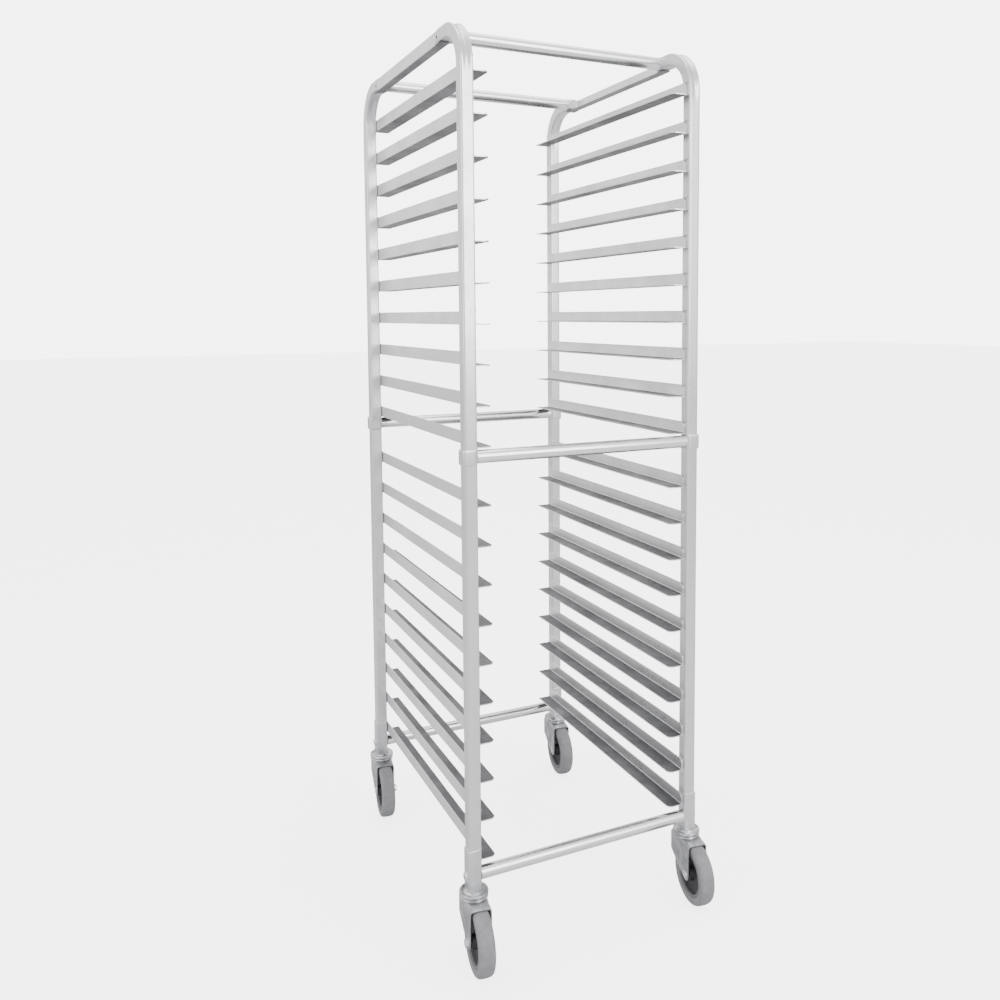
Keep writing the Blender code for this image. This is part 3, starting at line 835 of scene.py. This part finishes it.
FORK_RING = [(0.0180, 0.1338), (0.0215, 0.1345), (0.0240, 0.1349), (0.0256, 0.1350),
             (0.0268, 0.1346), (0.0276, 0.1337), (0.0278, 0.1322), (0.0277, 0.1300),
             (0.0270, 0.1288), (0.0256, 0.1285), (0.0180, 0.1302)]
HOLE_RADIUS = 0.0026
HOLE_FORWARD = -0.0400
HOLE_HEIGHT = 0.1090
HOLE_SET_IN = 0.0002
HOLE_PROFILE = [(0.0, 0.0), (HOLE_RADIUS, 0.0), (HOLE_RADIUS + 0.0003, 0.0004),
                (HOLE_RADIUS + 0.0009, 0.0004), (HOLE_RADIUS + 0.0012, -0.0002)]
FORK_ZINC = zinc_plate("zinc fork", (0.50, 0.50, 0.515), (0.33, 0.335, 0.35), 0.24, 0.46)
for end, side in CORNERS:
    place = caster_place(end, side)
    shape = bmesh.new()
    rows = []
    for y in fork_stations():
        rows.append([shape.verts.new(place @ Vector((x, y, z))) for x, z in fork_section(y)])
    for low, high in zip(rows, rows[1:]):
        for i in range(len(low) - 1):
            shape.faces.new((low[i], low[i + 1], high[i + 1], high[i]))
    fork = finish_piece(f"fork_plate_{end}_{side}", shape, [FORK_ZINC], f"fork_{end}_{side}",
                        [f"caster_fork_{end}_{side}"], sharp=50)
    hole = bmesh.new()
    for sign in (-1, 1):
        edge = Vector((sign * (FORK_HALF - HOLE_SET_IN), HOLE_FORWARD, HOLE_HEIGHT))
        spot = place @ facing(edge, Vector((sign, 0, 0)))
        for face in add_turned(hole, HOLE_PROFILE, spot, 20):
            centre = spot.inverted() @ face.calc_center_median()
            # The hole is a shallow dish. Its floor takes the painted-shade black in place of a
            # cut-through hole.
            face.material_index = 1 if math.hypot(centre.x, centre.y) < HOLE_RADIUS else 0
    finish_piece(f"fork_hole_{end}_{side}", hole, [FORK_ZINC, HOLE_PAINTED_SHADE], f"fork_{end}_{side}")
    wall = fork.modifiers.new("plate", "SOLIDIFY")
    wall.thickness = FORK_PLATE
    wall.offset = 0.0
    ease = fork.modifiers.new("eased edges", "BEVEL")
    ease.width = FORK_EDGE_EASE
    ease.segments = 2
    ease.limit_method = "ANGLE"
    ease.angle_limit = math.radians(50)
    shape = bmesh.new()
    add_turned_ring(shape, FORK_RING, place, RACE_SEGMENTS)
    finish_piece(f"fork_race_{end}_{side}", shape, [RACE_ZINC], f"fork_{end}_{side}",
                 sharp=60)

# ---------------------------------------------------------------------------------------------
# Axle bolts. A plated hex bolt passes through the fork's eyes and the wheel's sleeve, with a
# washer under its head, and its far end is pressed over a washer.

AXLE_RADIUS = 0.0049
HEX_HALF_FLAT = 0.0072
HEX_TOP = 0.0070
HEX_CHAMFER = 0.0010
HEX_TOP_SHARE = 0.9
WASHER_THICK = 0.0013
WASHER_PROFILE = [(0.0, 0.0), (0.0092, 0.0), (0.0094, 0.0002), (0.0094, 0.0011),
                  (0.0090, WASHER_THICK), (0.0, WASHER_THICK)]
PRESSED_END = [(0.0, WASHER_THICK), (0.0064, WASHER_THICK), (0.0062, 0.0024), (0.0052, 0.0030),
               (0.0040, 0.0026), (0.0034, 0.0016), (0.0, 0.0015)]
SHANK_PROFILE = [(0.0, -FORK_HALF), (AXLE_RADIUS, -FORK_HALF), (AXLE_RADIUS, FORK_HALF),
                 (0.0, FORK_HALF)]


def add_hex(shape, place):
    """The bolt's hexagon head on its washer, with its far corners turned off."""
    rings = []
    corner = HEX_HALF_FLAT / math.cos(math.pi / 6)
    levels = [(corner, WASHER_THICK), (corner, HEX_TOP - HEX_CHAMFER)]
    levels.append((corner * HEX_TOP_SHARE, HEX_TOP))
    for radius, rise in levels:
        rings.append(ring_round(shape, place, radius, rise, 6))
    skin(shape, rings)
    shape.faces.new(rings[0])
    shape.faces.new(rings[-1])


for end, side in CORNERS:
    place = caster_place(end, side)
    axle = Vector((0, -TRAIL, WHEEL_RADIUS))
    head_side = -1 if (end, side) == ("front", "left") else 1
    shape = bmesh.new()
    for sign in (head_side, -head_side):
        spot = place @ facing(axle + Vector((sign * FORK_HALF, 0, 0)), Vector((sign, 0, 0)))
        add_turned(shape, WASHER_PROFILE, spot, 30)
        if sign == head_side:
            add_hex(shape, spot)
        else:
            add_turned(shape, PRESSED_END, spot, 24)
    add_turned(shape, SHANK_PROFILE, place @ facing(axle, Vector((1, 0, 0))), 24)
    finish_piece(f"axle_bolt_{end}_{side}", shape, [BOLT_METAL], f"fork_{end}_{side}",
                 sharp=40)

# ---------------------------------------------------------------------------------------------
# Wheel hubs. Moulded in dark glass-filled nylon: a rim band that the tyre is bonded to, a dished
# web, and a boss round a steel bearing sleeve with a dust shield.

HUB_PROFILE = [(0.0066, 0.0176), (0.0118, 0.0176), (0.0130, 0.0168), (0.0136, 0.0120),
               (0.0150, 0.0075), (0.0200, 0.0062), (0.0330, 0.0062), (0.0378, 0.0072),
               (0.0400, 0.0110), (0.0408, 0.0138), (0.0420, 0.0146), (0.0462, 0.0146),
               (0.0470, 0.0136), (0.0470, 0.0)]
SLEEVE_PROFILE = [(0.0051, 0.0), (0.0051, 0.0182), (0.0066, 0.0184), (0.0072, 0.0180),
                  (0.0105, 0.0180), (0.0110, 0.0177), (0.0110, 0.0172)]
HUB_RIM_RADIUS = 0.0404
HUB_SEGMENTS = 72


def moulded_group():
    """Fine moulding texture with scuffs, for rubber and plastic."""
    tree, entry, leave = group_shell(
        "moulded surface",
        [("Fresh", "NodeSocketColor", (0.1, 0.1, 0.1, 1)),
         ("Scuffed", "NodeSocketColor", (0.2, 0.2, 0.2, 1)),
         ("Scuff Share", "NodeSocketFloat", 0.5), ("Texture Scale", "NodeSocketFloat", 900.0)],
        SURFACE_OUTPUTS)
    link = tree.links.new
    place = add_node(tree, "ShaderNodeTexCoord", (-1100, 300))
    grain = add_node(tree, "ShaderNodeTexNoise", (-800, 300))
    grain.inputs["Detail"].default_value = 2.0
    link(place.outputs["Object"], grain.inputs["Vector"])
    link(entry.outputs["Texture Scale"], grain.inputs["Scale"])
    scuff = add_node(tree, "ShaderNodeTexNoise", (-800, 0))
    scuff.inputs["Scale"].default_value = 60.0
    scuff.inputs["Detail"].default_value = 8.0
    scuff.inputs["Roughness"].default_value = 0.7
    link(place.outputs["Object"], scuff.inputs["Vector"])
    worn = add_node(tree, "ShaderNodeMapRange", (-550, 0))
    worn.inputs["From Min"].default_value = 0.42
    worn.inputs["From Max"].default_value = 0.70
    link(scuff.outputs["Fac"], worn.inputs["Value"])
    share = add_node(tree, "ShaderNodeMath", (-300, 0), operation="MULTIPLY")
    link(worn.outputs["Result"], share.inputs[0])
    link(entry.outputs["Scuff Share"], share.inputs[1])
    tint = add_node(tree, "ShaderNodeMix", (0, 250), data_type="RGBA")
    link(share.outputs[0], tint.inputs["Factor"])
    link(entry.outputs["Fresh"], tint.inputs["A"])
    link(entry.outputs["Scuffed"], tint.inputs["B"])
    link(tint.outputs["Result"], leave.inputs["Color"])
    gloss = add_node(tree, "ShaderNodeMapRange", (0, 0))
    gloss.inputs["To Min"].default_value = 0.50
    gloss.inputs["To Max"].default_value = 0.78
    link(share.outputs[0], gloss.inputs["Value"])
    link(gloss.outputs["Result"], leave.inputs["Roughness"])
    link(grain.outputs["Fac"], leave.inputs["Height"])
    return tree


MOULDED = moulded_group()


def moulded(name, fresh, scuffed, scuff_share, scale, relief):
    """Rubber or plastic as it left the mould, scuffed in patches."""
    values = {"Fresh": (*fresh, 1), "Scuffed": (*scuffed, 1), "Scuff Share": scuff_share,
              "Texture Scale": scale}
    return surfaced(name, MOULDED, values, 0.0, relief, 0.0003)


# The hub is dark nylon throughout. The rim band is given a lighter grey than the recessed web and
# boss: painted light on the rim and painted shade in the recess.
HUB_NYLON_AND_SHADE = moulded("dark hub nylon with painted shade", (0.018, 0.018, 0.02), (0.05, 0.05, 0.055), 0.5, 1400.0, 0.25)
HUB_RIM_PAINTED_LIGHT = moulded("hub rim painted light", (0.13, 0.13, 0.14), (0.19, 0.19, 0.195), 0.6, 1400.0, 0.25)
for end, side in CORNERS:
    place = caster_place(end, side) @ facing(Vector((0, -TRAIL, WHEEL_RADIUS)), Vector((1, 0, 0)))
    profile = HUB_PROFILE + [(radius, -rise) for radius, rise in reversed(HUB_PROFILE[:-1])]
    shape = bmesh.new()
    centre = place.translation
    for face in add_turned_ring(shape, profile, place, HUB_SEGMENTS):
        # Faces beyond the rim radius take the lighter grey, which is painted light.
        if all((vert.co - centre).length > HUB_RIM_RADIUS for vert in face.verts):
            face.material_index = 1
    finish_piece(f"wheel_hub_{end}_{side}", shape, [HUB_NYLON_AND_SHADE, HUB_RIM_PAINTED_LIGHT], f"wheel_{end}_{side}",
                 sharp=40)
    shape = bmesh.new()
    for sign in (1, -1):
        flip = place @ Matrix.Scale(sign, 4, Vector((0, 0, 1)))
        add_turned(shape, SLEEVE_PROFILE, flip, 40)
    finish_piece(f"wheel_bearing_{end}_{side}", shape, [RACE_ZINC], f"wheel_{end}_{side}",
                 sharp=40)

# ---------------------------------------------------------------------------------------------
# Tyres. Soft grey non-marking rubber moulded onto the hub: a slightly crowned tread with round
# shoulders, a raised moulding line at the edge of each sidewall, and a scuffed, dusty tread.

TYRE_PROFILE = [(0.0470, 0.0140), (0.0478, 0.0148), (0.0486, 0.0146), (0.0494, 0.0151),
                (0.0505, 0.0156), (0.0560, 0.0158), (0.0580, 0.0155), (0.0604, 0.0142),
                (0.0620, 0.0120), (0.0629, 0.0092), (0.0633, 0.0060), (0.0635, 0.0020)]
TYRE_SEGMENTS = 96
TYRE_RUBBER = moulded("soft grey rubber", (0.20, 0.20, 0.215), (0.28, 0.277, 0.28), 0.8, 700.0,
                      0.35)
for end, side in CORNERS:
    place = caster_place(end, side) @ facing(Vector((0, -TRAIL, WHEEL_RADIUS)), Vector((1, 0, 0)))
    profile = TYRE_PROFILE + [(radius, -rise) for radius, rise in reversed(TYRE_PROFILE)]
    shape = bmesh.new()
    add_turned_ring(shape, profile, place, TYRE_SEGMENTS)
    finish_piece(f"tyre_{end}_{side}", shape, [TYRE_RUBBER], f"wheel_{end}_{side}",
                 [f"caster_wheel_{end}_{side}"], sharp=40)

# ---------------------------------------------------------------------------------------------
# Studio. A plain pale floor, a pale surround, three soft lamps, and the camera, a little above
# the middle of the rack and to its left. Floor and surround look whiter to the camera than the
# light they throw on the rack, so the metal keeps its shading.

FLOOR_GLOW = 3.6
floor_shape = bmesh.new()
bmesh.ops.create_grid(floor_shape, x_segments=2, y_segments=2, size=30.0)
floor_mesh = bpy.data.meshes.new("floor")
floor_shape.to_mesh(floor_mesh)
floor_shape.free()
floor = bpy.data.objects.new("floor", floor_mesh)
bpy.context.scene.collection.objects.link(floor)
floor_paint = bpy.data.materials.new("pale floor")
floor_paint.use_nodes = True
floor_shader = shader_of(floor_paint)
floor_shader.inputs["Roughness"].default_value = 0.9
floor_shader.inputs["Emission Color"].default_value = (1, 1, 1, 1)
floor_sight = add_node(floor_paint.node_tree, "ShaderNodeLightPath", (-700, 0))
floor_tint = add_node(floor_paint.node_tree, "ShaderNodeMix", (-400, 200), data_type="RGBA")
floor_tint.inputs["A"].default_value = (0.62, 0.62, 0.63, 1)
floor_tint.inputs["B"].default_value = (0.92, 0.92, 0.92, 1)
floor_lift = add_node(floor_paint.node_tree, "ShaderNodeMath", (-400, -200), operation="MULTIPLY")
floor_lift.inputs[1].default_value = FLOOR_GLOW
for source, target in ((floor_sight.outputs["Is Camera Ray"], floor_tint.inputs["Factor"]),
                       (floor_tint.outputs["Result"], floor_shader.inputs["Base Color"]),
                       (floor_sight.outputs["Is Camera Ray"], floor_lift.inputs[0]),
                       (floor_lift.outputs[0], floor_shader.inputs["Emission Strength"])):
    floor_paint.node_tree.links.new(source, target)
floor_mesh.materials.append(floor_paint)

SURROUND_LIGHT = 1.5
SURROUND_SEEN = 6.0
world = bpy.data.worlds.new("pale surround")
bpy.context.scene.world = world
world.use_nodes = True
backdrop = world.node_tree.nodes["Background"]
backdrop.inputs["Color"].default_value = (1.0, 1.0, 1.0, 1)
sight = add_node(world.node_tree, "ShaderNodeLightPath", (-500, 0))
glow = add_node(world.node_tree, "ShaderNodeMapRange", (-250, 0))
glow.inputs["To Min"].default_value = SURROUND_LIGHT
glow.inputs["To Max"].default_value = SURROUND_SEEN
world.node_tree.links.new(sight.outputs["Is Camera Ray"], glow.inputs["Value"])
world.node_tree.links.new(glow.outputs["Result"], backdrop.inputs["Strength"])


def soft_lamp(name, place, target, size, watts):
    """A rectangular lamp at a place, turned to a target."""
    lamp = bpy.data.lights.new(name, "AREA")
    lamp.shape = "RECTANGLE"
    lamp.size, lamp.size_y = size
    lamp.energy = watts
    holder = bpy.data.objects.new(name, lamp)
    holder.location = place
    holder.rotation_euler = (Vector(target) - Vector(place)).to_track_quat("-Z", "Y").to_euler()
    bpy.context.scene.collection.objects.link(holder)


soft_lamp("front softbox", (0.9, -3.2, 2.2), (0, 0, 0.95), (1.8, 2.4), 60)
soft_lamp("left softbox", (-3.0, -0.6, 1.8), (0, 0, 0.9), (1.4, 2.2), 22)
soft_lamp("overhead softbox", (0.2, 0.3, 4.2), (0, 0, 1.0), (2.6, 2.6), 45)

EYE = Vector((-0.8670, -1.8980, 1.2413))
YAW = 0.4528
PITCH = -0.0802
ROLL = -0.0045
LENS = 33.86
LENS_SHIFT = (-0.0483, -0.1092)
camera_data = bpy.data.cameras.new("camera")
camera_data.lens = LENS
camera_data.sensor_width = 36.0
camera_data.shift_x, camera_data.shift_y = LENS_SHIFT
camera = bpy.data.objects.new("camera", camera_data)
look = Vector((math.sin(YAW) * math.cos(PITCH), math.cos(YAW) * math.cos(PITCH), math.sin(PITCH)))
aim = look.to_track_quat("-Z", "Y").to_matrix().to_4x4() @ Matrix.Rotation(ROLL, 4, "Z")
camera.matrix_world = Matrix.Translation(EYE) @ aim
bpy.context.scene.collection.objects.link(camera)
bpy.context.scene.camera = camera
